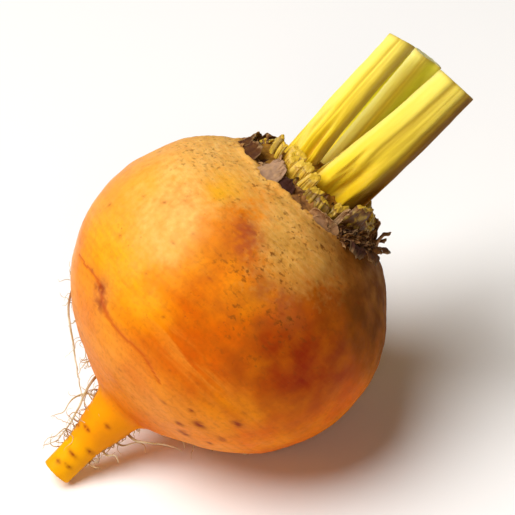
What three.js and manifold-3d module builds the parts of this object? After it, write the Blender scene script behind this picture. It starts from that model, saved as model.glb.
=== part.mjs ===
// A golden beet, pulled and trimmed: a round swollen root that narrows into a cut tap root, a corky crown
// with the stumps of its leaf stalks, short cut leaf bases, dry papery scales, and fine rootlets. It lies
// on its belly with the end of its tap root on the same surface.
//
// Row frame: millimetres, +Z up, the origin at the centre of the flat spot under the belly, +X the way the
// crown leans. Every piece is shaped in the beet's own frame: +Z runs along the root from tap root to
// crown, +X is the side that faces up as it lies, and +Y the side that faces the front (the row's -Y).
// Angles around the root are in degrees from +X towards +Y.
import * as THREE from "three";
import { mergeVertices } from "three/addons/utils/BufferGeometryUtils.js";
import Module from "manifold-3d";

const wasm = await Module();
wasm.setup();

const GAP = 0.3; // between pieces that touch

// How it lies.
const TILT = 36; // the root's axis above the surface
const FLAT_DEPTH = 0.55; // how far the flat spot is pressed into the belly

// The swollen root.
const BULB_RADIUS = 40;
const BULB_HALF_HEIGHT = 36;
const BULB_FOOT = -32; // where the round bulb gives way to the tap root
const BULB_SHOULDER = 26; // where it gives way to the crown
const FURROW_SIDES = [-43, 137]; // the two rows in which rootlets grow
const FURROW_DEPTH = 0.8;
const FURROW_WIDTH = 8;
const ROOT_SEGMENTS = 60;

// The crown sits a little off the axis, leans the same way, and nods to the front.
const CROWN_SIDE = -43;
const CROWN_SHIFT = 3.6;
const CROWN_LEAN = 6;
const CROWN_NOD = 5;
const CROWN_BASE = 29.5; // along the axis
const RIM_RADIUS = 20.4; // where the dry scales grow
const RIM_HEIGHT = 1.1; // above the crown's base
const RIM_SLOPE = 0.62;
const SCALE_SET_IN = 0.8; // how deep the scales are rooted

const COLOURS = {
  skin: { color: 0xe07d1c, roughness: 0.55, metalness: 0 },
  stalk: { color: 0xd9c32b, roughness: 0.45, metalness: 0 },
  leafBase: { color: 0xd9a91f, roughness: 0.6, metalness: 0 },
  scale: { color: 0x6f5140, roughness: 0.85, metalness: 0 },
  rootlet: { color: 0xc9b58a, roughness: 0.8, metalness: 0 },
};

const radians = THREE.MathUtils.degToRad;
const smooth = THREE.MathUtils.smoothstep;

// --- Solids

function solidOf(geometry) {
  const bare = geometry.index ? geometry.toNonIndexed() : geometry.clone();
  bare.deleteAttribute("normal");
  bare.deleteAttribute("uv");
  const merged = mergeVertices(bare, 1e-3);
  const vertProperties = merged.attributes.position.array;
  const triVerts = new Uint32Array(merged.index.array);
  return new wasm.Manifold(new wasm.Mesh({ numProp: 3, vertProperties, triVerts }));
}

function geometryOf(solid) {
  const mesh = solid.getMesh();
  const geometry = new THREE.BufferGeometry();
  geometry.setAttribute("position", new THREE.BufferAttribute(mesh.vertProperties, 3));
  geometry.setIndex(new THREE.BufferAttribute(mesh.triVerts, 1));
  geometry.computeVertexNormals();
  return geometry;
}

function largestPiece(solid) {
  return solid.decompose().reduce((best, piece) => (piece.volume() > best.volume() ? piece : best));
}

// A closed skin over rings of points: each ring joins the next, and a fan closes each end.
function loft(rings) {
  const count = rings[0].length;
  const [foot, head] = [rings[0], rings.at(-1)].map((ring) =>
    ring.reduce((sum, p) => sum.add(p), new THREE.Vector3()).divideScalar(count),
  );
  const points = [...rings.flat(), foot, head];
  const last = (rings.length - 1) * count;
  const faces = [];
  for (let j = 0; j < count; j++) {
    const next = (j + 1) % count;
    faces.push(last + count, next, j);
    faces.push(last + count + 1, last + j, last + next);
    for (let i = 0; i < last; i += count) {
      faces.push(i + j, i + next, i + count + next);
      faces.push(i + j, i + count + next, i + count + j);
    }
  }
  return new THREE.BufferGeometry().setFromPoints(points).setIndex(faces);
}

// --- The root

// Half of the root's outline, as (radius, along) from the tap root's cut end to the top of the crown, pushed
// out by `grow`.
function rootOutline(grow = 0) {
  const tapRoot = new THREE.SplineCurve([
    new THREE.Vector2(3.75, -60),
    new THREE.Vector2(3.9, -54),
    new THREE.Vector2(4.3, -49),
    new THREE.Vector2(5.5, -44.5),
    new THREE.Vector2(6.2, -41),
    new THREE.Vector2(6.9, -38.4),
    new THREE.Vector2(8.8, -36.6),
    new THREE.Vector2(12.6, -35),
    new THREE.Vector2(18.3, BULB_FOOT),
  ]).getPoints(18);
  const bulb = new THREE.EllipseCurve(
    0, 0, BULB_RADIUS, BULB_HALF_HEIGHT,
    Math.asin(BULB_FOOT / BULB_HALF_HEIGHT), Math.asin(BULB_SHOULDER / BULB_HALF_HEIGHT),
  ).getPoints(20);
  const crown = new THREE.SplineCurve([
    bulb.at(-1),
    new THREE.Vector2(24.4, 28.3),
    new THREE.Vector2(21.3, 29.9),
    new THREE.Vector2(19.4, 31.1),
    new THREE.Vector2(17.4, 32.7),
    new THREE.Vector2(14.4, 34.7),
    new THREE.Vector2(10, 36.5),
    new THREE.Vector2(5, 37.7),
    new THREE.Vector2(0, 38.1),
  ]).getPoints(12);
  const side = [...tapRoot, ...bulb.slice(1), ...crown.slice(1)];
  const outline = [new THREE.Vector2(0, side[0].y), ...side];
  return outline.map((point, i) => {
    const before = outline[Math.max(i - 1, 0)];
    const after = outline[Math.min(i + 1, outline.length - 1)];
    const run = after.clone().sub(before).normalize();
    const moved = new THREE.Vector2(point.x + run.y * grow, point.y - run.x * grow);
    moved.x = point.x < 1e-3 ? 0 : moved.x;
    return moved;
  });
}

// Growth isn't even: the bulb is slightly lobed, has two shallow furrows, and carries its crown to one side.
function growUnevenly(point) {
  const around = THREE.MathUtils.radToDeg(Math.atan2(point.y, point.x));
  const inBulb = smooth(point.z, -40, -26) * (1 - smooth(point.z, 18, 30));
  const lobes = 0.009 * Math.cos(radians(2 * around - 60)) + 0.007 * Math.cos(radians(3 * around + 40));
  const furrowRun = smooth(point.z, -48, -34) * (1 - smooth(point.z, -22, 4));
  const furrows = FURROW_SIDES.map((side) => {
    const off = THREE.MathUtils.euclideanModulo(around - side + 180, 360) - 180;
    return Math.exp(-((off / FURROW_WIDTH) ** 2));
  });
  const radius = Math.hypot(point.x, point.y);
  const depth = FURROW_DEPTH * (furrows[0] + furrows[1]) * furrowRun * smooth(radius, 3, 12);
  const scale = radius < 1e-6 ? 1 : (radius * (1 + lobes * inBulb) - depth) / radius;
  point.x *= scale;
  point.y *= scale;
  const side = new THREE.Vector2(Math.cos(radians(CROWN_SIDE)), Math.sin(radians(CROWN_SIDE)));
  const lean = smooth(point.z, 12, CROWN_BASE);
  const sideways = side.x * point.x + side.y * point.y;
  const forward = side.x * point.y - side.y * point.x;
  point.x += side.x * CROWN_SHIFT * lean;
  point.y += side.y * CROWN_SHIFT * lean;
  point.z -= (Math.tan(radians(CROWN_LEAN)) * sideways + Math.tan(radians(CROWN_NOD)) * forward) * lean;
  return point;
}

function rootSolid(grow) {
  const lathe = new THREE.LatheGeometry(rootOutline(grow), ROOT_SEGMENTS);
  lathe.rotateX(Math.PI / 2);
  const position = lathe.attributes.position;
  for (let i = 0; i < position.count; i++) {
    const grown = growUnevenly(new THREE.Vector3().fromBufferAttribute(position, i));
    position.setXYZ(i, grown.x, grown.y, grown.z);
  }
  return solidOf(lathe);
}

// --- How the beet lies: its own frame in the row frame

const tilt = radians(TILT);
const support = Math.hypot(BULB_RADIUS * Math.cos(tilt), BULB_HALF_HEIGHT * Math.sin(tilt));
const contactAhead =
  ((BULB_RADIUS ** 2 - BULB_HALF_HEIGHT ** 2) * Math.sin(tilt) * Math.cos(tilt)) / support;
const lying = new THREE.Matrix4()
  .makeBasis(
    new THREE.Vector3(-Math.sin(tilt), 0, Math.cos(tilt)),
    new THREE.Vector3(0, -1, 0),
    new THREE.Vector3(Math.cos(tilt), 0, Math.sin(tilt)),
  )
  .setPosition(-contactAhead, 0, support - FLAT_DEPTH);

function belowTheSurface() {
  const slab = new THREE.BoxGeometry(300, 300, 100).translate(0, 0, -50);
  return solidOf(slab.applyMatrix4(lying.clone().invert()));
}

// --- The crown: its frame has +X on the side it leans to and +Z along the leaf stalks

const crownFrame = new THREE.Matrix4()
  .makeRotationZ(radians(CROWN_SIDE))
  .multiply(new THREE.Matrix4().makeTranslation(CROWN_SHIFT, 0, CROWN_BASE))
  .multiply(new THREE.Matrix4().makeRotationY(radians(CROWN_LEAN)))
  .multiply(new THREE.Matrix4().makeRotationX(radians(-CROWN_NOD)));

const onCrown = ([around, out, height]) =>
  new THREE.Vector3(out * Math.cos(radians(around)), out * Math.sin(radians(around)), height);

// The section of a leaf stalk: rounded and ribbed outside (-Y), with a channel facing the crown's heart.
function stalkSection(width, depth, channel, count) {
  return Array.from({ length: count }, (_, i) => {
    const turn = (2 * Math.PI * i) / count;
    const [c, s] = [Math.cos(turn), Math.sin(turn)];
    const x = (width / 2) * Math.sign(c) * Math.abs(c) ** 0.85;
    const ribs = s < 0 ? 1 + 0.08 * Math.cos(6 * turn) : 1;
    const y = (depth / 2) * Math.sign(s) * Math.abs(s) ** 0.8 * ribs;
    const hollow = s > 0 ? channel * depth * Math.exp(-((x / (0.24 * width)) ** 2)) : 0;
    return new THREE.Vector2(x, y - hollow);
  });
}

// A leaf stalk from `foot` to `tip` (polar places on the crown: degrees and millimetres from its centre,
// and height above its base). It bows outward by `bow`, widens towards its foot by `taper`, and its foot
// flares into a broad base. Its top is cut with a slant across it and a bevel from front to back.
function stalkSolid(spec, grow = 0) {
  const { foot, tip, width, depth, flare = 1.2, taper = 0, bow = 0.5, turn = 0, channel = 0.3 } = spec;
  const { slant = 0, bevel = 0 } = spec;
  const [start, end] = [onCrown(foot), onCrown(tip)];
  const middle = start.clone().add(end).divideScalar(2);
  const outward = new THREE.Vector3(middle.x, middle.y, 0).normalize();
  const line = new THREE.QuadraticBezierCurve3(start, middle.addScaledVector(outward, 2 * bow), end);
  const upright = new THREE.Vector3(0, 0, 1);
  const aside = upright.clone().cross(outward).applyAxisAngle(upright, radians(turn));
  const length = line.getLength();
  const steps = Math.max(3, Math.round(length / 4.5));
  const rings = [];
  for (let i = 0; i <= steps; i++) {
    const along = i / steps;
    const centre = line.getPointAt(along);
    const heading = line.getTangentAt(along);
    const inward = aside.clone().cross(heading).negate().normalize();
    const across = inward.clone().cross(heading).normalize();
    const spread = 1 + taper * (1 - along) + (flare - 1) * Math.exp(-((along * length) / 5));
    const thin = 1 - 0.2 * Math.exp(-((along * length) / 4));
    const section = stalkSection(width * spread + 2 * grow, depth * thin + 2 * grow, channel, 24);
    const atTop = i === steps ? 1 : 0;
    rings.push(
      section.map((p) =>
        centre
          .clone()
          .addScaledVector(across, p.x)
          .addScaledVector(inward, p.y)
          .addScaledVector(heading, atTop * (grow + slant * p.x + bevel * p.y)),
      ),
    );
  }
  return solidOf(loft(rings).applyMatrix4(crownFrame));
}

// A dry papery scale that grows from the crown's rim: a thin shield, curled across. It sets off at `lean`
// from upright (outward is positive) and bends on by `bend` towards its tip.
function scaleSolid({ around, out, wide, long, lean, bend = 0, curl = 0.12, thick = 0.6 }, grow = 0) {
  const height = RIM_HEIGHT + (RIM_RADIUS - out) * RIM_SLOPE;
  const [columns, rows] = [6, 5];
  const rings = [];
  let [away, top] = [0, -SCALE_SET_IN];
  for (let i = 0; i <= rows; i++) {
    const up = i / rows;
    const angle = radians(lean + bend * up);
    const half = (wide / 2 + grow) * Math.sqrt(1 - 0.6 * up ** 3);
    const edge = (k, side) => {
      const share = (2 * k) / columns - 1;
      const lift = curl * wide * (1 - share * share) + side * ((thick * (1 - 0.4 * up)) / 2 + grow);
      return new THREE.Vector3(half * share, -away - lift * Math.cos(angle), top - lift * Math.sin(angle));
    };
    const front = Array.from({ length: columns + 1 }, (_, k) => edge(k, 1));
    const back = Array.from({ length: columns + 1 }, (_, k) => edge(columns - k, -1));
    rings.push([...front, ...back]);
    away += ((long + SCALE_SET_IN) / rows) * Math.sin(angle);
    top += ((long + SCALE_SET_IN) / rows) * Math.cos(angle);
  }
  const geometry = loft(rings);
  geometry.rotateZ(radians(around + 90));
  geometry.translate(...onCrown([around, out, height]));
  return solidOf(geometry.applyMatrix4(crownFrame));
}

// A rootlet through points given as along the root, out from its axis on the furrow's side, and sideways.
function rootletSolid({ side, thick, points }) {
  const out = new THREE.Vector3(Math.cos(radians(side)), Math.sin(radians(side)), 0);
  const beside = new THREE.Vector3(-out.y, out.x, 0);
  const path = new THREE.CatmullRomCurve3(
    points.map(([along, away, aside]) =>
      new THREE.Vector3(0, 0, along).addScaledVector(out, away).addScaledVector(beside, aside),
    ),
  );
  const circle = new THREE.EllipseCurve(0, 0, thick / 2, thick / 2);
  const section = new THREE.Shape(circle.getPoints(5).slice(0, 5));
  const steps = Math.round(path.getLength() / 2);
  return solidOf(new THREE.ExtrudeGeometry(section, { steps, extrudePath: path, curveSegments: 1 }));
}

// --- The pieces

// Polar places on the crown: 0 is the side it leans to, 90 the side that faces front.
const STALKS = {
  leaf_stalk_front_left: {
    foot: [22, 7, 1], tip: [34, 5.9, 44], width: 6.5, depth: 6.2, turn: 40, taper: 0.25, slant: 0.27,
  },
  leaf_stalk_front_right: {
    foot: [112, 10, 0], tip: [148, 13.6, 44.1], width: 10.4, depth: 7.6, bow: 0.8, turn: -30, taper: 0.36,
    slant: 0.06,
  },
  leaf_stalk_back_middle: { foot: [-98, 7, 1], tip: [-110, 7, 43.8], width: 8, depth: 5, bow: 0.6, turn: 30 },
  leaf_stalk_back_right: {
    foot: [-136, 10.5, 0], tip: [-144, 12.4, 42.6], width: 8, depth: 5.4, flare: 1.4, bow: 1,
  },
  leaf_stalk_back_left: { foot: [-68, 12, 0], tip: [-84, 12.4, 41.8], width: 5.4, depth: 4.6, flare: 1.3 },
  leaf_stalk_heart: { foot: [172, 2.4, 3], tip: [176, 8, 42.4], width: 4.6, depth: 3.6, bow: 0.2 },
};

// Short leaf bases, torn or cut off, from the side the crown leans to and on round the front.
const STUBS = [
  { foot: [33, 14.6, 3], tip: [33, 15.2, 8.8], width: 1.6, depth: 1.3, slant: 0.3 },
  { foot: [42, 13.8, 3], tip: [41, 14.8, 8.2], width: 1.6, depth: 1.3, slant: -0.3 },
  { foot: [54, 11.8, 4], tip: [54, 12.8, 9], width: 5, depth: 1.8, bevel: 0.8 },
  { foot: [64, 15, 2.2], tip: [61.5, 16, 7.8], width: 2.4, depth: 2.2, taper: 0.4, slant: -0.3, bevel: 1.1 },
  { foot: [71, 15.4, 2], tip: [71, 16.3, 7.8], width: 2.3, depth: 2.1, taper: 0.4, slant: 0.3, bevel: 1.2 },
  { foot: [77, 14.8, 2.4], tip: [78, 15.8, 8.4], width: 2.4, depth: 2.1, taper: 0.4, slant: -0.2, bevel: 1.2 },
  { foot: [84, 15.2, 2.2], tip: [86.5, 16.2, 7.4], width: 2.6, depth: 2.2, taper: 0.4, bevel: 1.2 },
  { foot: [94, 17, 1], tip: [95, 17.4, 5.4], width: 3.4, depth: 2.2, taper: 0.3, slant: 0.3, bevel: 0.8 },
  { foot: [105, 17.4, 1], tip: [104, 18, 4.6], width: 3.6, depth: 2.2, taper: 0.3, slant: -0.3, bevel: 0.6 },
  { foot: [117, 17.2, 1], tip: [118, 18, 5.6], width: 3.6, depth: 2.4, taper: 0.3, slant: 0.4, bevel: 0.8 },
  { foot: [131, 17.4, 1], tip: [131, 19.4, 8.8], width: 4.4, depth: 2, taper: 0.3, slant: 0.2, bevel: 0.4 },
  { foot: [150, 16.4, 1], tip: [151, 17.8, 4.8], width: 5, depth: 2.2, taper: 0.2, slant: -0.4, bevel: 0.4 },
  { foot: [178, 15, 1], tip: [179, 16.2, 4.6], width: 6, depth: 2.6, taper: 0.2, slant: 0.2, bevel: 0.5 },
  { foot: [-158, 15.4, 0], tip: [-160, 17, 5.2], width: 6, depth: 2.6, taper: 0.2, slant: 0.2, bevel: 0.6 },
  { foot: [-130, 16, 0], tip: [-131, 17.6, 6.4], width: 6, depth: 2.6, taper: 0.2, slant: -0.2, bevel: 0.8 },
  { foot: [-104, 13.6, 2], tip: [-104, 15, 8.4], width: 5.4, depth: 2.4, taper: 0.3, slant: -0.3, bevel: 0.9 },
  { foot: [-68, 16.8, 0], tip: [-69, 18, 6.2], width: 6, depth: 2.2, taper: 0.2, bevel: 0.7 },
  { foot: [-40, 15, 1], tip: [-40, 16.2, 5.4], width: 5.4, depth: 2.6, taper: 0.2, slant: 0.3, bevel: 0.6 },
  { foot: [-10, 14.8, 1], tip: [-9, 15.6, 4.6], width: 5, depth: 2.4, taper: 0.2, slant: -0.2, bevel: 0.6 },
  { foot: [-30, 8.4, 2], tip: [-32, 8.6, 9.6], width: 4.4, depth: 2.6, taper: 0.2, slant: 0.2, bevel: 0.6 },
];

// Dry scales round the rim, from the same side. Those at the front right have dropped over the shoulder.
const SCALES = [
  { around: 12, out: 20.3, wide: 6.4, long: 3.2, lean: -30, bend: -20 },
  { around: 36, out: 20.6, wide: 6.8, long: 3.4, lean: -16, bend: -24 },
  { around: 62, out: 21.8, wide: 6.6, long: 5.6, lean: -32, bend: -24, curl: 0.1 },
  { around: 76, out: 20.7, wide: 5, long: 2.8, lean: -24, bend: -20 },
  { around: 91, out: 21.2, wide: 8.6, long: 4, lean: -50, bend: -16, curl: 0.08 },
  { around: 107, out: 21, wide: 6.6, long: 2.8, lean: -24, bend: 50, curl: 0.06 },
  { around: 118.5, out: 19.8, wide: 2.4, long: 6, lean: -10, bend: 24 },
  { around: 133, out: 21, wide: 6.4, long: 6.4, lean: 36, bend: 90 },
  { around: 149, out: 20.6, wide: 6.4, long: 6, lean: 44, bend: 76 },
  { around: 165, out: 20.2, wide: 6, long: 5, lean: 16, bend: 60 },
  { around: 182, out: 20, wide: 7, long: 4.6, lean: -16, bend: 20 },
  { around: 201, out: 20.4, wide: 7.6, long: 5, lean: -30, bend: -20 },
  { around: 222, out: 20.8, wide: 8, long: 4.2, lean: -30, bend: -10 },
  { around: 243, out: 20.4, wide: 7, long: 5.2, lean: 10, bend: 60 },
  { around: 264, out: 21, wide: 8.4, long: 4.8, lean: -38, bend: -20 },
  { around: 285, out: 20.4, wide: 7, long: 4, lean: -20, bend: 40 },
  { around: 305, out: 21, wide: 8, long: 5, lean: -44, bend: -14 },
  { around: 326, out: 20.4, wide: 7, long: 4.4, lean: -24, bend: -30 },
  { around: 348, out: 20.6, wide: 7.4, long: 3.8, lean: -40, bend: -10 },
];

const [LEFT, RIGHT] = FURROW_SIDES;
const ROOTLETS = {
  rootlet_long: {
    side: LEFT, thick: 0.8,
    points: [
      [-35, 9.4, 0.5], [-39, 9, 1.2], [-44.6, 7.2, 1], [-49, 6, 0.2], [-54, 5.4, -0.6], [-58, 6.6, -1],
    ],
  },
  rootlet_looped: {
    side: LEFT, thick: 0.7,
    points: [
      [-25, 28, 3], [-29, 25.4, 3.6], [-34.5, 18.4, 4], [-39, 12.4, 4], [-42, 8.4, 3.6], [-44, 3.4, 3],
    ],
  },
  rootlet_left: {
    side: LEFT, thick: 0.7,
    points: [[-40, 4, -2], [-41.5, 8, -2.6], [-45, 9.6, -3], [-49, 9, -3.4], [-52, 10.4, -3.2]],
  },
  rootlet_under: {
    side: RIGHT, thick: 0.8,
    points: [[-41, 4, 0], [-41, 8, -0.6], [-38.8, 11, -1], [-36.4, 14.4, -0.6], [-35, 18, 0.4]],
  },
  rootlet_under_curled: {
    side: RIGHT, thick: 0.7,
    points: [[-45, 3.4, 1], [-44.6, 6.6, 1.6], [-42.4, 8.4, 2.2], [-40.8, 10.2, 2.4], [-41.6, 12, 1.8]],
  },
  rootlet_under_short: {
    side: RIGHT, thick: 0.7,
    points: [[-48, 3, -0.6], [-48.4, 5.8, -1.2], [-46.8, 7.4, -1.8], [-47.2, 9.2, -2]],
  },
};

const bareRoot = rootSolid(0).subtract(belowTheSurface());
const rootWithRoom = rootSolid(GAP);

const lyingGroup = new THREE.Group();
lyingGroup.applyMatrix4(lying);

function add(name, solid, look) {
  const mesh = new THREE.Mesh(geometryOf(largestPiece(solid)), new THREE.MeshStandardMaterial(COLOURS[look]));
  mesh.name = name;
  lyingGroup.add(mesh);
}

add("beet_root", bareRoot, "skin");

// Each piece of the crown gives way to the root and to the pieces placed before it.
let taken = rootWithRoom;
for (const [name, spec] of Object.entries(STALKS)) {
  add(name, stalkSolid(spec).subtract(taken), "stalk");
  taken = taken.add(stalkSolid(spec, GAP));
}
STUBS.forEach((spec, i) => {
  add(`cut_leaf_base_${String(i + 1).padStart(2, "0")}`, stalkSolid(spec).subtract(taken), "leafBase");
  taken = taken.add(stalkSolid(spec, GAP));
});
SCALES.forEach((spec, i) => {
  add(`dry_scale_${String(i + 1).padStart(2, "0")}`, scaleSolid(spec).subtract(taken), "scale");
  taken = taken.add(scaleSolid(spec, GAP));
});
for (const [name, spec] of Object.entries(ROOTLETS)) {
  add(name, rootletSolid(spec).subtract(rootWithRoom), "rootlet");
}

const beet = new THREE.Group();
beet.add(lyingGroup);

export default beet;
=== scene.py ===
import math
import random

import bpy
import numpy as np
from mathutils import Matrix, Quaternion, Vector, noise


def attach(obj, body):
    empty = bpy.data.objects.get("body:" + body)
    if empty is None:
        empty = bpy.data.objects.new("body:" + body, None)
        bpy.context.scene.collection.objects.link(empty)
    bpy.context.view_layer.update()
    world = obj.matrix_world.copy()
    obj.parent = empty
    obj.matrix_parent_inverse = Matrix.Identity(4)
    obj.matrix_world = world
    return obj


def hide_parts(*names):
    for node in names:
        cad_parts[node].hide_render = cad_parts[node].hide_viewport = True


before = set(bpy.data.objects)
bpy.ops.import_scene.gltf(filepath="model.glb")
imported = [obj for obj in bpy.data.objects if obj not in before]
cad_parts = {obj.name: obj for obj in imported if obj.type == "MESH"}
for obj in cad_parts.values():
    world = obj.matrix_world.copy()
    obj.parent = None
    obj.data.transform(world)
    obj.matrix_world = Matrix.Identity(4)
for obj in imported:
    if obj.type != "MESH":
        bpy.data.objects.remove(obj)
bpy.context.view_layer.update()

# A golden beet lying on its belly. Shapes are worked out in millimetres in the beet's own frame: Z runs from
# the tap root to the crown, X is the side that faces up, Y the side that faces the front. Angles go from X
# towards Y.
scene = bpy.context.scene
mm = 0.001

beet = {
    "tilt": 36,  # degrees, the axis above the surface
    "flatDepth": 0.55,
    "bulbRadius": 40,
    "bulbHalfHeight": 36,
    "bulbFoot": -32,
    "bulbShoulder": 26,
    "tapRoot": [(3.75, -60), (3.9, -54), (4.3, -49), (5.5, -44.5), (6.2, -41), (6.9, -38.4), (8.8, -36.6),
                (12.6, -35), (18.3, -32)],
    "crown": [(24.4, 28.3), (21.3, 29.9), (19.4, 31.1), (17.4, 32.7), (14.4, 34.7), (10, 36.5), (5, 37.7),
              (0, 38.1)],
    "lobes": [(2, 0.009, -60), (3, 0.007, 40)],  # how many, height as a share of the radius, turn
    "lobesRun": (-40, -26, 18, 30),  # along, mm: where they start, are full, fade and end
    "furrowSides": (-43, 137),
    "furrowDepth": 0.8,
    "furrowWidth": 8,
    "furrowRun": (-48, -34, -22, 4),
    "crownSide": -43,  # the crown leans and shifts this way
    "crownShift": 3.6,
    "crownLean": 6,
    "crownNod": 5,  # and nods to the front
    "crownBase": 29.5,
    "rimRadius": 20.4,  # where the dry scales grow
    "rimHeight": 1.1,
    "rimSlope": 0.62,
}


def ramp(value, low, high):  # 0 below low, 1 above high, smooth between
    share = np.clip((np.asarray(value, float) - low) / (high - low), 0, 1)
    return share * share * (3 - 2 * share)


def plateau(value, start, full, fade, end):  # rises from start to full, falls from fade to end
    return ramp(value, start, full) * (1 - ramp(value, fade, end))


def bell(value, centre, width):
    return np.exp(-(((np.asarray(value, float) - centre) / width) ** 2))


def turnFrom(around, side):  # degrees from side, between -180 and 180
    return (np.asarray(around, float) - side + 180) % 360 - 180


def rotated(x, y, angle):  # radians
    return x * math.cos(angle) - y * math.sin(angle), x * math.sin(angle) + y * math.cos(angle)


def unit(vectors):
    return vectors / np.maximum(np.linalg.norm(vectors, axis=-1, keepdims=True), 1e-9)


# Smooth noise, about -1 to 1, with blobs of this size in mm, at points or at three coordinates
def fractalAt(points, size, octaves, seed):
    if isinstance(points, tuple):
        points = np.stack(np.broadcast_arrays(*points), -1)
    shifted = np.asarray(points).reshape(-1, 3) / size + 31.7 * seed
    values = [noise.fractal(p, 1.0, 2.0, octaves) for p in shifted.tolist()]
    return np.array(values).reshape(np.shape(points)[:-1])


def splineThrough(knots, perSpan):
    knots = np.array([knots[0], *knots, knots[-1]], float)
    steps = np.linspace(0, 1, perSpan, endpoint=False)[:, None]
    spans = []
    for before, start, end, after in zip(knots, knots[1:], knots[2:], knots[3:]):
        leave, arrive = (end - before) / 2, (after - start) / 2
        cubic = 2 * start - 2 * end + leave + arrive
        square = -3 * start + 3 * end - 2 * leave - arrive
        spans.append(cubic * steps**3 + square * steps**2 + leave * steps + start)
    return np.vstack([*spans, knots[-1:]])


def evenlySpaced(line, count):
    lengths = np.concatenate([[0], np.cumsum(np.linalg.norm(np.diff(line, axis=0), axis=1))])
    wanted = np.linspace(0, lengths[-1], count)
    return np.stack([np.interp(wanted, lengths, line[:, k]) for k in range(line.shape[1])], -1)


# How the beet lies: its own frame in the row frame
tilt = math.radians(beet["tilt"])
support = math.hypot(beet["bulbRadius"] * math.cos(tilt), beet["bulbHalfHeight"] * math.sin(tilt))
flattening = beet["bulbRadius"] ** 2 - beet["bulbHalfHeight"] ** 2
contactAhead = flattening * math.sin(tilt) * math.cos(tilt) / support
lyingTurn = np.array([
    [-math.sin(tilt), 0, math.cos(tilt)],
    [0, -1, 0],
    [math.cos(tilt), 0, math.sin(tilt)],
])
lyingPlace = np.array([-contactAhead, 0, support - beet["flatDepth"]])


def toRow(points):
    return points @ lyingTurn.T + lyingPlace


# The crown's own frame: X on the side it leans to, Y to the front, Z along the leaf stalks
crownTurn, crownLean, crownNod = (math.radians(beet[k]) for k in ("crownSide", "crownLean", "crownNod"))


def fromCrown(points):
    x, y, z = np.moveaxis(np.asarray(points, float), -1, 0)
    y, z = rotated(y, z, -crownNod)
    x, z = rotated(x, z, -crownLean)
    x, y = rotated(x + beet["crownShift"], y, crownTurn)
    return np.stack([x, y, z + beet["crownBase"]], -1)


def onCrown(around, out, height):
    angle = math.radians(around)
    return np.array([out * math.cos(angle), out * math.sin(angle), height])


# Shapes: closed skins over rings of points, with a value at every point for each mask
def capped(grid):  # every value of a grid, then the means of its first and last ring
    grid = np.asarray(grid, float)
    flat = grid.reshape(-1, *grid.shape[2:])
    return np.concatenate([flat, [grid[0].mean(0)], [grid[-1].mean(0)]])


def loft(rings, masks):
    rows, columns = rings.shape[:2]
    here = np.arange(columns)
    following = (here + 1) % columns
    starts = np.arange(rows - 1)[:, None] * columns
    quads = np.stack([starts + here, starts + following,
                      starts + following + columns, starts + here + columns], -1)
    foot, head, last = rows * columns, rows * columns + 1, (rows - 1) * columns
    faces = quads.reshape(-1, 4).tolist()
    faces += [(foot, following[j], j) for j in here]
    faces += [(head, last + j, last + following[j]) for j in here]
    return {"points": capped(rings), "faces": faces, "masks": {key: capped(masks[key]) for key in masks}}


def joined(shapes):
    starts = np.cumsum([0, *(len(shape["points"]) for shape in shapes)]).tolist()
    faces = [[index + start for index in face]
             for shape, start in zip(shapes, starts) for face in shape["faces"]]
    masks = {key: np.concatenate([shape["masks"][key] for shape in shapes]) for key in shapes[0]["masks"]}
    return {"points": np.vstack([shape["points"] for shape in shapes]), "faces": faces, "masks": masks}


def placed(name, data):
    thing = bpy.data.objects.new(name, data)
    scene.collection.objects.link(thing)
    return thing


def addPiece(name, shape, material, slot, *nodes):
    mesh = bpy.data.meshes.new(name)
    mesh.from_pydata((toRow(shape["points"]) * mm).tolist(), [], shape["faces"])
    mesh.shade_smooth()
    for key, values in shape["masks"].items():
        kind, field = ("FLOAT", "value") if values.ndim == 1 else ("FLOAT_VECTOR", "vector")
        attribute = mesh.attributes.new(key, kind, "POINT")
        attribute.data.foreach_set(field, values.astype(np.float32).ravel())
    mesh.materials.append(material)
    piece = placed(name, mesh)
    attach(piece, "root")
    if nodes:
        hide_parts(*nodes)


# Materials. Sizes in them are millimetres, because every piece carries its own place in the beet's frame.
places = ("place", "fibre")  # the root's own place, and the place along a leaf's fibres


def linear(hexColour):
    shares = [int(hexColour[k:k + 2], 16) / 255 for k in (1, 3, 5)]
    return (*[c / 12.92 if c <= 0.04045 else ((c + 0.055) / 1.055) ** 2.4 for c in shares], 1)


# Adds a node and gives its output. An input is linked to an output, set to a value, or linked to the mask or
# place of this name that the mesh carries.
def addNode(tree, kind, links, out=0, **settings):
    made = tree.nodes.new("ShaderNode" + kind)
    for key, value in settings.items():
        setattr(made, key, value)
    for key, value in links.items():
        if isinstance(value, str):
            carried = "Vector" if value in places else "Fac"
            value = addNode(tree, "Attribute", {}, carried, attribute_name=value)
        if isinstance(value, bpy.types.NodeSocket):
            tree.links.new(value, made.inputs[key])
        else:
            made.inputs[key].default_value = value
    return made.outputs[out]


def newMaterial(name, settings):
    material = bpy.data.materials.new(name)
    material.use_nodes = True
    shader = material.node_tree.nodes["Principled BSDF"]
    for key, value in settings.items():
        shader.inputs[key].default_value = value
    return material, material.node_tree


# 0 to 1 where noise with blobs of this size in mm goes from low to high
def blotches(tree, place, size, low, high, detail, stretch=(1, 1, 1)):
    closeness = tuple(1 / (size * k) for k in stretch)
    scaled = addNode(tree, "VectorMath", {0: place, 1: closeness}, operation="MULTIPLY")
    field = addNode(tree, "TexNoise", {"Vector": scaled, "Scale": 1.0, "Detail": detail})
    return addNode(tree, "MapRange", {"Value": field, "From Min": low, "From Max": high})


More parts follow.
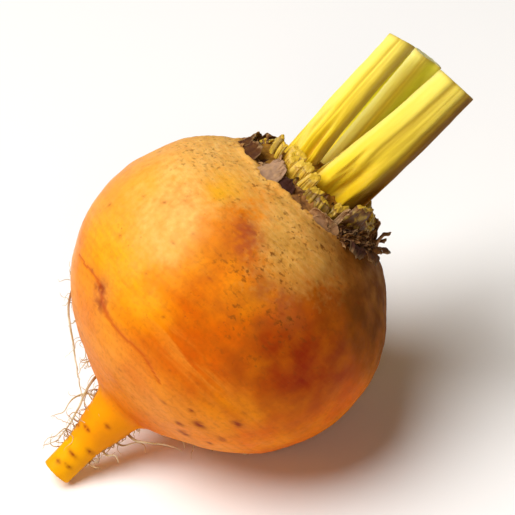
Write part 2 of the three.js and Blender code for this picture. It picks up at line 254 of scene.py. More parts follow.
# A base colour under layers. Each layer has its colour, its mask, and what breaks the mask up: a number, a
# pattern, or a pattern with the least share that it leaves.
def layered(tree, base, layers):
    colour = linear(base)
    for hexColour, mask, *breaks in layers:
        for broken in breaks:
            if isinstance(broken, tuple):
                broken = addNode(tree, "MapRange", {"Value": broken[0], "To Min": broken[1]})
            mask = addNode(tree, "Math", {0: mask, 1: broken}, operation="MULTIPLY")
        colour = addNode(tree, "Mix", {0: mask, 6: colour, 7: linear(hexColour)}, 2, data_type="RGBA")
    return colour


# Roughness is an output, or a pattern with its least and most. Height is the fine relief, depth its mm.
def finished(material, colour, roughness, height, depth):
    tree = material.node_tree
    if isinstance(roughness, tuple):
        roughness = addNode(tree, "MapRange", dict(zip(("Value", "To Min", "To Max"), roughness)))
    bump = addNode(tree, "Bump", {"Strength": 1.0, "Distance": depth * mm, "Height": height})
    for key, made in {"Base Color": colour, "Roughness": roughness, "Normal": bump}.items():
        tree.links.new(made, tree.nodes["Principled BSDF"].inputs[key])
    return material


skinLook = {
    "amber": "#F08E06",
    "orange": "#E26A02",
    "lenticelEvery": 2.0,  # mm
    "poreDepth": 0.06,
    "satin": (0.4, 0.54),  # roughness of the thin skin
    "corky": (0.62, 0.85),
}


# Beet periderm, the thin skin of a grown and washed root: clear amber with a faint satin shine, dull, tan and
# finely cracked where cork has grown near the crown. Some layers are painted light: shade on the side turned
# from the lamps, a highlight on the upper left and a reflection on the left limb
def beetPeriderm():
    material, tree = newMaterial("beetPeriderm", {
        "IOR": 1.45,
        "Specular IOR Level": 0.06,
        "Subsurface Weight": 0.05,
        "Subsurface Radius": (1.0, 0.35, 0.05),
        "Subsurface Scale": 2 * mm,
    })
    wide = blotches(tree, "place", 15, 0.38, 0.62, 4)
    middling = blotches(tree, "place", 5, 0.36, 0.64, 4)
    fine = blotches(tree, "place", 1.6, 0.3, 0.7, 5)
    growth = blotches(tree, "place", 2.4, 0.4, 0.72, 4, (4, 4, 0.5))  # fine rings round the root
    tides = blotches(tree, "place", 4, 0.44, 0.58, 3, (4, 4, 0.4))  # where growth stopped and went on
    rings = blotches(tree, "place", 0.9, 0.45, 0.75, 3, (5, 5, 0.6))
    freckles = blotches(tree, "place", 1.1, 0.47, 0.7, 6)
    specks = blotches(tree, "place", 1.2, 0.53, 0.67, 5, (1, 1, 0.7))
    specksHere = blotches(tree, "place", 6, 0.4, 0.6, 2)
    corkBreaks = addNode(tree, "Math", {0: fine, 1: 0.4}, operation="MULTIPLY")
    corkBroken = addNode(tree, "MapRange", {
        "Value": addNode(tree, "Math", {0: "cork", 1: corkBreaks}), "From Min": 0.4, "From Max": 1.3})
    cells = addNode(tree, "TexVoronoi", {
        "Vector": "place", "Scale": 1 / skinLook["lenticelEvery"], "Randomness": 1.0}, "Distance")
    dots = addNode(tree, "MapRange", {"Value": cells, "From Min": 0.15, "From Max": 0.05})
    dotsHere = blotches(tree, "place", 7, 0.5, 0.7, 2)
    colour = layered(tree, skinLook["amber"], [
        (skinLook["orange"], wide),
        ("#FBA200", "gold"),
        ("#D05400", "deep", 0.88),
        ("#A4500A", "mottled", middling, 0.75),
        # deep burnt orange: partly the skin's colour, partly painted shade on the side away from the key
        # light
        ("#8E1600", "burnt", (middling, 0.75)),
        ("#E98A24", "tide", tides),
        ("#F0983E", "peach"),
        # painted reflection: a pale pink rim on the left limb
        ("#F6D0A4", "bloom"),
        ("#B85608", growth, 0.3),
        ("#A24A0A", freckles, 0.24),
        ("#EEB45A", corkBroken),
        ("#C08A30", corkBroken, middling, 0.45),
        ("#B07820", corkBroken, freckles, 0.4),
        # russet tan, and a painted highlight: the cream patch on the upper left stands for the key light's
        # soft highlight
        ("#F6C068", "russet", (fine, 0.5)),
        ("#E89C38", "russet", middling, 0.4),
        ("#F3CC84", corkBroken, rings, 0.35),
        ("#F2AC1A", "flush"),
        ("#CA8830", "ochre", (middling, 0.45)),
        ("#A0422A", "rust", (middling, 0.6)),
        # umber: partly brown cork, partly painted shade on the side turned from the lamps
        ("#784008", "umber", (middling, 0.75)),
        ("#96440E", dots, dotsHere, 0.6),
        ("#74400F", "flecked", specks, specksHere, 0.85),
        ("#EE9604", "tap"),
        ("#F8B006", "tapEnd"),
        ("#D07C14", "tap", middling, 0.35),
        ("#A9772A", "dome"),
        ("#6E4A1A", "dome", fine),
        ("#C24E08", "crack"),
        ("#8E3210", "scar"),
        # painted shade: near black in the gutter behind the crown's rim and in the rim's low parts
        ("#3A1A0E", "dark"),
    ])
    satin, corky = (
        addNode(tree, "MapRange", {"Value": fine, "To Min": least, "To Max": most})
        for least, most in (skinLook["satin"], skinLook["corky"]))
    worn = addNode(tree, "Math", {0: corkBroken, 1: "umber"}, use_clamp=True)
    roughness = addNode(tree, "Mix", {0: worn, 2: satin, 3: corky})
    halfRussetAndHighlight = addNode(tree, "Math", {0: "russet", 1: 0.5}, operation="MULTIPLY")
    coarse = addNode(tree, "Math", {0: addNode(tree, "Math", {0: "cork", 1: halfRussetAndHighlight}), 1: 0.15})
    relief = addNode(tree, "Math", {0: growth, 1: fine})
    relief = addNode(tree, "Math", {0: relief, 1: coarse}, operation="MULTIPLY")
    relief = addNode(tree, "Math", {0: relief, 1: dots}, operation="SUBTRACT")
    return finished(material, colour, roughness, relief, skinLook["poreDepth"])


# Beet petiole, fresh and cut with a knife: moist and ribbed, gold at its foot, paler towards the cut, and
# yellow green in its channel. Painted light on it: paler on the lit side and along the edges, darker in the
# grooves, browner and darker at the foot and on the shaded flank
def freshPetiole():
    material, tree = newMaterial("freshPetiole", {
        "IOR": 1.42,
        "Specular IOR Level": 0.12,
        "Subsurface Weight": 0.3,
        "Subsurface Radius": (1.0, 0.9, 0.25),
        "Subsurface Scale": 3 * mm,
    })
    streaks = blotches(tree, "fibre", 0.7, 0.32, 0.68, 4, (1, 1, 14))
    clouds = blotches(tree, "fibre", 3.2, 0.35, 0.65, 3, (1, 1, 5))
    foot = addNode(tree, "MapRange", {"Value": "rise", "From Min": 0.4, "From Max": 0.05})
    top = addNode(tree, "MapRange", {"Value": "rise", "From Min": 0.35, "From Max": 1.0})
    bundles = addNode(tree, "TexVoronoi", {"Vector": "fibre", "Scale": 0.75, "Randomness": 0.7}, "Distance")
    rings = addNode(tree, "MapRange", {"Value": bundles, "From Min": 0.34, "From Max": 0.2})
    colour = layered(tree, "#FADC3A", [
        ("#F2D226", clouds),
        ("#EEE06E", top, 0.8),
        # painted light: paler on the side that faces the key light
        ("#FAF084", "pale"),
        ("#F8C808", foot, 0.9),
        ("#D8BC20", streaks, 0.18),
        # paler ribs and painted highlight along the edges and fold crests
        ("#F8EA98", "ridge", 0.3),
        # painted shade in the grooves and between the folds
        ("#B8900A", "groove", 0.7),
        ("#E6E640", "channel", 0.8),
        # partly aged, partly painted shade on the flank turned from the light
        ("#7C5204", "aged"),
        ("#E8E3A0", "cut"),
        ("#B7BB52", "cut", rings, 0.7),
        ("#B08A3A", "cutRim", 0.5),
        # brown stain and painted shade at the foot, where the stalk meets the crown
        ("#7C4A18", "stain", clouds),
    ])
    return finished(material, colour, (clouds, 0.4, 0.52), streaks, 0.06)


# Leaf base, torn or cut short and left to dry: juicy gold, brown and matt at its ragged edge
def cutLeafBase():
    material, tree = newMaterial("cutLeafBase", {
        "IOR": 1.42,
        "Subsurface Weight": 0.12,
        "Subsurface Radius": (1.0, 0.7, 0.2),
        "Subsurface Scale": 1.5 * mm,
    })
    streaks = blotches(tree, "fibre", 0.6, 0.35, 0.65, 4, (1, 1, 6))
    clouds = blotches(tree, "fibre", 2.2, 0.4, 0.62, 3)
    nearlyAll = addNode(tree, "Math", {0: clouds, 1: 0.35}, operation="ADD")
    colour = layered(tree, "#EEC436", [
        ("#CC961C", clouds),
        ("#8C6212", streaks, 0.45),
        # painted highlight on the crests of the folds
        ("#F2E086", "ridge", 0.7),
        # painted shade in the gaps between the folds
        ("#A07410", "groove", 0.6),
        ("#E2BC44", "cut", addNode(tree, "Math", {0: clouds, 1: 0.3}, operation="ADD")),
        ("#97781A", "olive", nearlyAll),
        ("#5C360A", "dead", nearlyAll),
        ("#8A5A1E", "stain"),
        ("#4A2A16", "stain", streaks),
    ])
    return finished(material, colour, ("stain", 0.42, 0.8), streaks, 0.08)


# Dead leaf tissue, dried to paper on the plant: brown to purple grey, with painted shade at its foot and on
# its back, pale tan at its edges
def dryLeafPaper():
    material, tree = newMaterial("dryLeafPaper", {"IOR": 1.5, "Specular IOR Level": 0.25})
    tan, grey, blackAndShade = (
        addNode(tree, "MapRange", {"Value": "tint", "From Min": none, "From Max": full})
        for none, full in ((0.5, 0.95), (0.7, 1.0), (0.4, 0.0)))
    streaks = blotches(tree, "fibre", 0.5, 0.34, 0.66, 5, (1, 1, 5))
    clouds = blotches(tree, "fibre", 2.0, 0.4, 0.6, 3)
    colour = layered(tree, "#9C6626", [
        ("#74461A", clouds),
        ("#B8906A", tan),
        ("#9A7A64", grey, clouds, 0.7),
        # near black: dark dead tissue, and painted shade where a scale covers a hollow
        ("#351408", blackAndShade),
        ("#4A250E", streaks, 0.14),
        ("#D8B078", "edge", 0.45),
        # painted shade at the foot of each scale and over its back face
        ("#321409", "dark", 0.85),
    ])
    return finished(material, colour, (streaks, 0.7, 0.95), streaks, 0.05)


# Feeder roots, dried after washing: thin tan fibres, browner where they leave the skin
def driedRootHair():
    material, tree = newMaterial("driedRootHair", {"IOR": 1.5, "Specular IOR Level": 0.3})
    clouds = blotches(tree, "place", 2.5, 0.4, 0.6, 3)
    colour = layered(tree, "#D9CBA6", [("#B79A66", clouds), ("#9A5F26", "foot")])
    return finished(material, colour, (clouds, 0.6, 0.8), clouds, 0.05)


skinMaterial = beetPeriderm()
stalkMaterial = freshPetiole()
baseMaterial = cutLeafBase()
paperMaterial = dryLeafPaper()
hairMaterial = driedRootHair()
print("materials made")

# The root: one skin from the cut end of the tap root to the top of the crown
skin = {
    "rings": 300,
    "segments": 320,
    "cutEndRings": 8,
    "seed": 11,
    "dents": [(20, 0.5), (8, 0.14), (3, 0.02)],  # size and depth, mm
    # mm that each kind of relief rises or sinks
    "relief": {
        "rings": 0.1, "bodyRings": 0.06, "cork": 0.04, "rim": 0.55, "gutter": 0.6, "dome": 0.5, "pit": 0.06,
        "mark": 0.08, "blemishSpot": 0.15, "scab": 0.3, "crack": 0.15, "furrow": 0.32, "cutEnd": 0.25},
    "corkFrom": (9, 29),  # along, mm: where cork starts and where it covers the skin
    # where cork reaches further down, or less far: mm, the side in degrees, and its half width in degrees
    "corkTongues": [(5, 50, 24), (-5, 92, 26), (-6, 32, 9)],
    "crownAbove": 20,  # along, mm
    "rimOut": 20.6,  # mm from the axis, where the rim of the crown stands up
    "rim": (0.3, 1.0),  # mm further out, and half width
    "gutter": (-2.0, 1.2),
    "bodyRun": (-33, -24, 24, 30),  # along, mm: start, full, fade and end
    "furrowRun": (-56, -44, -28, -10),
    "tapFrom": (-40.5, -36),
    "tapEndFrom": (-56, -45),
    # burnt orange and umber on the shaded side, partly the skin's own colour and partly painted shade: where
    # the sides fade in degrees, and heights in mm
    "emberAndShade": ((44, 82, 86, 122), (4, 15), (-18, -9)),
    "umber": ((80, 116), (140, 178), (4, 18)),
    "belly": (0.25, 0.02, 0.5),  # mm: relief below this height is pressed flat, down to, how softly
    "pits": 110,
    "blemish": (-18.3, 9, 3.4, 4.6),  # along in mm, around in degrees, half width and half height in mm
    # along, around, width in mm, and how dark
    "blemishSpots": [
        (-16.9, 8.4, 3, 1), (-19.9, 9.8, 3.4, 0.7), (-17.8, 4.4, 1.6, 0.5), (-18.6, 12, 1.6, 0.6)],
    # trails of along, around, half their width in mm
    "cracks": [
        [(-18, 9, 0.7), (-19.8, 13, 0.8), (-20.6, 19, 0.6), (-21, 26, 0.5), (-20.4, 35, 0.45), (-21, 43, 0.4),
         (-22.4, 52, 0.3)],
        [(-16.8, 7, 0.5), (-16, 1, 0.4), (-16.4, -7, 0.35), (-16, -16, 0.3)]],
    # along, around, length across in mm
    "marks": [
        (-27, 75, 1.6), (-23.8, 79, 2.6), (-23.4, 93, 1.8), (-28.8, 85, 2.2), (-17, 86, 2.2), (-22, 70, 1),
        (-25.4, 60, 0.9), (-26.4, 98, 1.2), (-33.5, -34, 2.4), (-36.4, -40, 2), (-30.4, -30, 1.5)],
    "tapScars": [
        (-53.2, 40, 3), (-50, 84, 2.4), (-56.4, 62, 2), (-46.4, 20, 2.8), (-42.6, 58, 1.8), (-57, 20, 1.8),
        (-51, 150, 2.4), (-46.5, 205, 3), (-55, 260, 2.2), (-43, 300, 2.6), (-48, -20, 1.8)],
    # strength, along, around, half width and half height in mm
    "rustMarks": [(0.9, 18, 35.5, 4.2, 2.8), (0.5, 14, 39, 4, 4), (0.6, 11, 60, 7, 4), (0.5, 14, 230, 8, 5)],
    # coloured patches: strength, around, along, half width in degrees and half height in mm
    "patches": {
        "gold": [(1, 0, -7, 27, 8.5), (1, 21, -14, 12, 7), (0.6, 33, 3, 8, 9), (0.5, 14, -21, 14, 4),
                 (0.7, 214, -5, 34, 13)],
        "deep": [(1, 46, -8, 11, 9), (0.35, 36, 15, 6, 7), (0.5, 36, -18, 30, 5), (0.8, 160, 2, 26, 16),
                 (0.6, 262, -8, 24, 14)],
        "tide": [(1, 54, -13, 20, 3), (0.35, 84, -17, 20, 3.5)],
        # painted reflection on the left limb
        "bloom": [(0.7, -36, -13, 13, 10)],
        "flush": [(0.9, 17, 21.5, 8, 4.5), (0.5, -14, 6, 10, 8)],
        "ochre": [(0.7, 57, 15, 13, 10), (0.6, 250, 14, 30, 8)],
        "flecked": [(1.2, 62, 8, 24, 13)],
        "mottled": [(1, 64, 6, 30, 17), (0.6, 200, 0, 60, 24)],
        # the first, third and fourth patches are mostly painted highlight, the others russet
        "russet": [(0.8, 17, 6, 10, 13), (0.7, -38, 14, 24, 20), (0.8, -4, 15, 22, 15), (0.4, 4, 9, 12, 9),
                   (0.5, 192, 8, 24, 12)],
    },
    "patchMost": {"tide": 0.75, "flush": 0.85, "ochre": 0.85, "russet": 0.9},  # 1 for the others
}


def rootOutline(count):  # radius and along, in mm
    tapRoot = splineThrough(beet["tapRoot"], 12)
    foot, shoulder = (math.asin(beet[k] / beet["bulbHalfHeight"]) for k in ("bulbFoot", "bulbShoulder"))
    turns = np.linspace(foot, shoulder, 120)
    bulb = np.stack([beet["bulbRadius"] * np.cos(turns), beet["bulbHalfHeight"] * np.sin(turns)], -1)
    crown = splineThrough([bulb[-1], *beet["crown"]], 12)
    cutEnd = np.array([[0.02, beet["tapRoot"][0][1]]])
    return evenlySpaced(np.vstack([cutEnd, tapRoot, bulb[1:], crown[1:]]), count)


def furrowsAt(around, width):
    return sum(bell(turnFrom(around, side), 0, width) for side in beet["furrowSides"])


def growUnevenly(points):  # slightly lobed, furrowed on two sides, and carrying its crown to one side
    x, y, z = np.moveaxis(points, -1, 0)
    around = np.degrees(np.arctan2(y, x))
    radius = np.hypot(x, y)
    lobes = sum(high * np.cos(np.radians(count * around + turn)) for count, high, turn in beet["lobes"])
    lobes = lobes * plateau(z, *beet["lobesRun"])
    depth = beet["furrowDepth"] * furrowsAt(around, beet["furrowWidth"])
    depth = depth * plateau(z, *beet["furrowRun"]) * ramp(radius, 3, 12)
    scale = (radius * (1 + lobes) - depth) / np.maximum(radius, 1e-6)
    x, y = x * scale, y * scale
    lean = ramp(z, 12, beet["crownBase"])
    sideways, forward = rotated(x, y, -crownTurn)
    shiftX, shiftY = rotated(beet["crownShift"] * lean, 0, crownTurn)
    drop = (math.tan(crownLean) * sideways + math.tan(crownNod) * forward) * lean
    return np.stack([x + shiftX, y + shiftY, z - drop], -1)


outline = rootOutline(skin["rings"])
radius, along = (np.repeat(outline[:, [k]], skin["segments"], 1) for k in (0, 1))
angles = np.repeat(np.linspace(0, 2 * np.pi, skin["segments"], endpoint=False)[None], skin["rings"], 0)
around = np.degrees(angles)
skinBase = growUnevenly(np.stack([radius * np.cos(angles), radius * np.sin(angles), along], -1))
aroundStep = np.roll(skinBase, -1, axis=1) - np.roll(skinBase, 1, axis=1)
skinNormal = unit(np.cross(aroundStep, np.gradient(skinBase, axis=0)))
cylinder = np.stack([beet["bulbRadius"] * np.cos(angles), beet["bulbRadius"] * np.sin(angles), along], -1)
inBulb = ramp(along, -38, -28)
waver = fractalAt(skinBase, 14, 2, 5)
frayed = np.clip(0.95 + fractalAt(skinBase, 1.3, 3, 17), 0, 1.2)


# The nearest point of the root's side, the direction outward, and the ways round and along
def onSkin(along, around, lift=0.0):
    onSide = np.arange(skin["rings"]) >= skin["cutEndRings"]
    row = int(np.argmin(np.where(onSide, np.abs(outline[:, 1] - along), np.inf)))
    column = int(round(around % 360 / 360 * skin["segments"])) % skin["segments"]
    outward = skinNormal[row, column]
    roundWay = unit(np.cross([0, 0, 1], outward))
    return skinBase[row, column] + outward * lift, outward, roundWay, unit(np.cross(outward, roundWay))


def markOnSkin(along, around, wide, tall):  # a soft oval mark lying across the root
    centre, outward, roundWay, upWay = onSkin(along, around)
    away = skinBase - centre
    near = np.abs(away @ outward) < 4
    reach = (away @ roundWay / wide) ** 2 + (away @ upWay / tall) ** 2
    return np.exp(-reach) * near


# The crown's rim, the gutter behind it and the fibrous dome inside: a mask of each, and how ragged the rim is
def crownRings():
    onCrownSide = along > skin["crownAbove"]
    outFromRim = np.where(onCrownSide, radius - skin["rimOut"], 99)
    ragged = 0.9 + 0.9 * fractalAt(cylinder, 5, 4, 8)
    inDome = ramp(-outFromRim, 0.5, 2.0) * onCrownSide
    return bell(outFromRim, *skin["rim"]) * ragged, bell(outFromRim, *skin["gutter"]), inDome, ragged


# Pits and dashes left by lenticels, scars of lost rootlets, and the spots of the blemish: along, around, half
# width and half height in mm, depth in mm, and how dark
def wounds():
    draw = random.Random(skin["seed"])
    deep = skin["relief"]
    found = [(draw.uniform(-32, 26), draw.uniform(0, 360), draw.uniform(0.4, 1.0), draw.uniform(0.35, 0.6),
              deep["pit"], draw.uniform(0.15, 0.6)) for _ in range(skin["pits"])]
    found += [(*spot, long / 1.4, long / 2, deep["mark"], 1) for *spot, long in skin["marks"]]
    found += [(*spot, long / 1.8, 0.5, deep["mark"], 0.9) for *spot, long in skin["tapScars"]]
    found += [(*spot, wide / 2, wide / 2, deep["blemishSpot"], dark)
              for *spot, wide, dark in skin["blemishSpots"]]
    return found


def makeRootSkin():
    high = skin["relief"]
    onBody = plateau(along, *skin["bodyRun"])
    relief = np.zeros_like(along)
    for k, (size, depth) in enumerate(skin["dents"]):
        relief += depth * fractalAt(skinBase, size, 3, k) * (0.25 + 0.75 * inBulb)

    tongues = sum(reach * bell(turnFrom(around, side), 0, wide) for reach, side, wide in skin["corkTongues"])
    cork = ramp(along + 5 * waver + tongues, *skin["corkFrom"])
    fineRings = fractalAt(cylinder / [9, 9, 1], 1.1, 3, 6)
    relief += fineRings * (high["rings"] * cork + high["bodyRings"] * onBody * (1 - ramp(along, -14, 2)))
    relief += high["cork"] * fractalAt(skinBase, 1.5, 3, 7) * cork

    rim, gutter, inDome, ragged = crownRings()
    domeFolds = fractalAt((around / 9, radius / 5, 0), 1, 3, 9)
    relief += high["rim"] * rim - high["gutter"] * gutter + high["dome"] * domeFolds * inDome

    scar = np.zeros_like(along)
    for *place, depth, dark in wounds():
        mark = markOnSkin(*place) * frayed
        relief -= depth * mark
        scar = np.maximum(scar, dark * mark)

    # the blemish and the crack that runs from it
    blemish = markOnSkin(*skin["blemish"])
    scab = fractalAt(skinBase, 1.4, 3, 10)
    relief += high["scab"] * blemish * scab
    crack = np.zeros_like(along)
    for trail in skin["cracks"]:
        for *place, wide in evenlySpaced(splineThrough(trail, 12), 70):
            crack = np.maximum(crack, 0.9 * markOnSkin(*place, wide, wide))
    relief -= high["crack"] * crack

    # the furrows where rootlets grew are rough and brown
    furrow = furrowsAt(around, np.clip(120 / np.maximum(radius, 1), 6, 26))
    furrow = furrow * plateau(along, *skin["furrowRun"])
    knots = fractalAt(skinBase, 1.7, 3, 12)
    relief += high["furrow"] * furrow * knots
    scar = np.maximum(scar, furrow * ramp(knots, -0.1, 0.5) * 0.8)

    points = skinBase + skinNormal * relief[..., None]
    cutFace = along < beet["tapRoot"][0][1] + 0.01
    points[..., 2] += cutFace * high["cutEnd"] * fractalAt(skinBase, 1.2, 3, 13)
    row = toRow(points)
    below, least, soft = skin["belly"]
    pressed = least + (below - least) * np.exp((row[..., 2] - below) / soft)
    row[..., 2] = np.where(row[..., 2] < below, pressed, row[..., 2])
    points = (row - lyingPlace) @ lyingTurn

    # the edges of the patches wander
    warp = inBulb * (1 - ramp(along, 22, 30))
    side = around + 8 * warp * fractalAt(skinBase, 9, 4, 14)
    height = along + 2.4 * warp * fractalAt(skinBase, 9, 4, 16)
    away = turnFrom(side, 0)
    patches = {}
    for name, spots in skin["patches"].items():
        total = sum(strength * bell(turnFrom(side, atSide), 0, wide) * bell(height, atHeight, tall)
                    for strength, atSide, atHeight, wide, tall in spots)
        patches[name] = np.clip(total, 0, skin["patchMost"].get(name, 1))
    emberShadeSides, emberShadeHeight, emberShadeFoot = skin["emberAndShade"]
    umberShadeFrom, umberShadeTo, umberShadeFoot = skin["umber"]
    lowBody = (1 - ramp(along, -30, -17)) * (0.75 + 0.45 * fractalAt(skinBase, 11, 3, 14))
    rust = sum(strength * markOnSkin(*place) for strength, *place in skin["rustMarks"])
    masks = {
        **patches,
        "place": points,
        "cork": cork,
        "flecked": np.clip(cork + patches["flecked"], 0, 1),
        # burnt mask: the skin's deep orange and painted shade on the lower right
        "burnt": plateau(away, *emberShadeSides) * bell(height, *emberShadeHeight) * ramp(height, *emberShadeFoot),
        # umber mask: brown cork and painted shade on the far, shaded side
        "umber": ramp(away + height, *umberShadeFrom) * (1 - ramp(away, *umberShadeTo)) * ramp(height, *umberShadeFoot),
        "peach": np.clip(lowBody + 0.8 * blemish, 0, 0.85) * inBulb,
        "rust": np.clip(0.8 * blemish * bell(scab, 0.3, 0.5) + frayed * rust, 0, 1),
        "tap": 1 - ramp(along + 1.5 * waver, *skin["tapFrom"]),
        "tapEnd": 1 - ramp(along, *skin["tapEndFrom"]),
        "dome": inDome * (1 - gutter),
        "crack": np.clip(crack, 0, 0.8),
        "scar": np.clip(scar, 0, 1),
        # painted shade in the gutter and the low parts of the rim
        "dark": np.clip(gutter * (0.75 + fractalAt(cylinder, 3, 3, 15)) + 0.35 * rim * (ragged < 0.7), 0, 1),
    }
    addPiece("beetRootSkin", loft(points, masks), skinMaterial, "beet_skin", "beet_root")


makeRootSkin()
print("root skin made")

# Leaf stalks: places are degrees and millimetres out on the crown, and height above its base
stalks = {
    "leaf_stalk_front_left": {
        "foot": (22, 7, 1), "tip": (34, 5.9, 44), "width": 6.5, "depth": 6.2, "turn": 40, "taper": 0.25,
        "slant": 0.27, "grooves": [(0.13, 0.9), (0.45, 0.3)], "aged": (0.7, 1, 0.5)},
    # its dark right flank is partly painted shade
    "leaf_stalk_front_right": {
        "foot": (112, 10, 0), "tip": (148, 13.6, 44.1), "width": 10.4, "depth": 7.6, "bow": 0.8, "turn": -30,
        "taper": 0.36, "slant": 0.06, "grooves": [(-0.3, 0.9), (-0.17, 0.7), (0.12, 0.4), (0.5, 0.6)],
        "folds": 2, "aged": (0, 0.8, 1), "pale": 0.1},
    # the middle stalk's strong pale overlay is painted light where the stalks in front shade it
    "leaf_stalk_back_middle": {
        "foot": (-98, 7, 1), "tip": (-110, 7, 43.8), "width": 8, "depth": 5, "bow": 0.6, "turn": 30,
        "grooves": [(-0.6, 0.8), (0, 1), (0.55, 0.8)], "innerGrooves": [(0.42, 0.5), (0.2, 0.4)],
        "channelAt": -0.4, "pale": 0.8},
    "leaf_stalk_back_right": {
        "foot": (-136, 10.5, 0), "tip": (-144, 12.4, 42.6), "width": 8, "depth": 5.4, "bow": 1, "flare": 1.4,
        "grooves": [(-0.5, 0.9), (0.05, 0.6), (0.6, 0.8)]},
    "leaf_stalk_back_left": {
        "foot": (-68, 12, 0), "tip": (-84, 12.4, 41.8), "width": 5.4, "depth": 4.6, "flare": 1.3,
        "grooves": [(-0.45, 1), (0.3, 0.7)]},
    "leaf_stalk_heart": {
        "foot": (172, 2.4, 3), "tip": (176, 8, 42.4), "width": 4.6, "depth": 3.6, "bow": 0.2,
        "grooves": [(-0.3, 0.8), (0.4, 0.8)]},
}

# Short leaf bases, from the side the crown leans to and on round the front. Their ends slant sideways and are
# bevelled inward. Olive ones are older, dead ones brown.
stubFields = ("foot", "tip", "width", "depth", "taper", "slant", "bevel", "olive", "dead")
stubs = [dict(zip(stubFields, row)) for row in [
    ((33, 14.6, 3), (33, 15.2, 8.8), 1.6, 1.3, 0, 0.3, 0, 0.6),
    ((42, 13.8, 3), (41, 14.8, 8.2), 1.6, 1.3, 0, -0.3, 0, 0.4),
    ((54, 11.8, 4), (54, 12.8, 9), 5, 1.8, 0, 0, 0.8),
    ((64, 15, 2.2), (61.5, 16, 7.8), 2.4, 2.2, 0.4, -0.3, 1.2),
    ((71, 15.4, 2), (71, 16.3, 7.8), 2.3, 2.1, 0.4, 0.3, 1.2),
    ((77, 14.8, 2.4), (78, 15.8, 8.4), 2.4, 2.1, 0.4, -0.2, 1.2, 0.1),
    ((84, 15.2, 2.2), (86.5, 16.2, 7.4), 2.6, 2.2, 0.4, 0, 1.2, 0.2),
    ((94, 17, 1), (95, 17.4, 5.4), 3.4, 2.2, 0.3, 0.3, 0.8, 0.8, 0.3),
    ((105, 17.4, 1), (104, 18, 4.6), 3.6, 2.2, 0.3, -0.3, 0.6, 1, 0.5),
    ((117, 17.2, 1), (118, 18, 5.6), 3.6, 2.4, 0.3, 0.4, 0.8, 1, 0.3),
    ((131, 17.4, 1), (131, 19.4, 8.8), 4.4, 2, 0.3, 0.2, 0.4, 1, 1),
    ((150, 16.4, 1), (151, 17.8, 4.8), 5, 2.2, 0.2, -0.4, 0.4, 1, 1),
    ((178, 15, 1), (179, 16.2, 4.6), 6, 2.6, 0.2, 0.2, 0.5, 0.6),
    ((-158, 15.4, 0), (-160, 17, 5.2), 6, 2.6, 0.2, 0.2, 0.6, 0.2),
    ((-130, 16, 0), (-131, 17.6, 6.4), 6, 2.6, 0.2, -0.2, 0.8, 0.7, 0.3),
    ((-104, 13.6, 2), (-104, 15, 8.4), 5.4, 2.4, 0.3, -0.3, 0.9),
    ((-68, 16.8, 0), (-69, 18, 6.2), 6, 2.2, 0.2, 0, 0.7, 0.5),
    ((-40, 15, 1), (-40, 16.2, 5.4), 5.4, 2.6, 0.2, 0.3, 0.6, 0.2),
    ((-10, 14.8, 1), (-9, 15.6, 4.6), 5, 2.4, 0.2, -0.2, 0.6, 0.3),
    ((-30, 8.4, 2), (-32, 8.6, 9.6), 4.4, 2.6, 0.2, 0.2, 0.6),
]]

petiole = {
    "around": 96,
    "ringEvery": 0.6,  # mm
    "ribs": (6, 0.025),  # how many, and their height as a share of its half depth
    "channel": (0.3, 0.48),  # as a share of its depth, and half width as a share of its half width
    "grooveWidth": 0.085,  # as a share of its half width
    "grooveDepth": 0.4,  # mm in a stalk 6 mm deep, as is foldDepth
    "foldDepth": 0.9,
    "wander": 0.2,  # mm that the surface strays
    # Both kinds: the share of its half depth that the foot draws in, the strength of the folds over the foot
    # and the heights in mm where they fade, mm that the end face strays, and the rings of that face as shares
    # in from the edge with their heights in mm
    "cut": {"tuck": 0.3, "folds": (1, 9, 24), "stray": 0.06,
            "face": ((0.965, 0.12), (0.9, 0.16), (0.72, 0.14), (0.45, 0.12), (0.15, 0.1))},
    "torn": {"tuck": 0, "folds": (0.6, 8, 24), "stray": 0.45,
             "face": ((0.96, 0.16), (0.86, 0.34), (0.68, 0.48), (0.42, 0.5), (0.15, 0.46))},
}


# The middle line of a petiole, from the share of its length that is buried in the crown: shares, heights in
# mm, points, and the ways across, inward and along
def petioleLine(spec, start):
    foot, tip = onCrown(*spec["foot"]), onCrown(*spec["tip"])
    middle = (foot + tip) / 2
    outward = unit(middle * [1, 1, 0])
    control = middle + 2 * spec.get("bow", 0.5) * outward
    turn = math.radians(spec.get("turn", 0))
    aside = np.cross([0, 0, 1], outward)
    aside = aside * math.cos(turn) + np.cross([0, 0, 1], aside) * math.sin(turn)
    length = np.linalg.norm(tip - foot)
    share = np.linspace(start, 1, max(8, int(length * (1 - start) / petiole["ringEvery"])))[:, None]
    line = foot * (1 - share) ** 2 + control * 2 * share * (1 - share) + tip * share**2
    heading = unit(np.gradient(line, axis=0))
    inward = -unit(np.cross(aside, heading))
    return share, share * length, line, unit(np.cross(inward, heading)), inward, heading


def grooveMask(spec, share, beside, outer):
    grooves = [(*spot, outer) for spot in spec.get("grooves", [(-0.4, 0.3), (0.3, 0.4)])]
    grooves += [(*spot, ~outer) for spot in spec.get("innerGrooves", [])]
    mask = np.zeros_like(beside)
    for k, (place, strength, face) in enumerate(grooves):
        stray = 0.03 * np.sin(5 * share + k)
        mask = np.maximum(mask, strength * bell(beside + stray, place, petiole["grooveWidth"]) * face)
    return mask


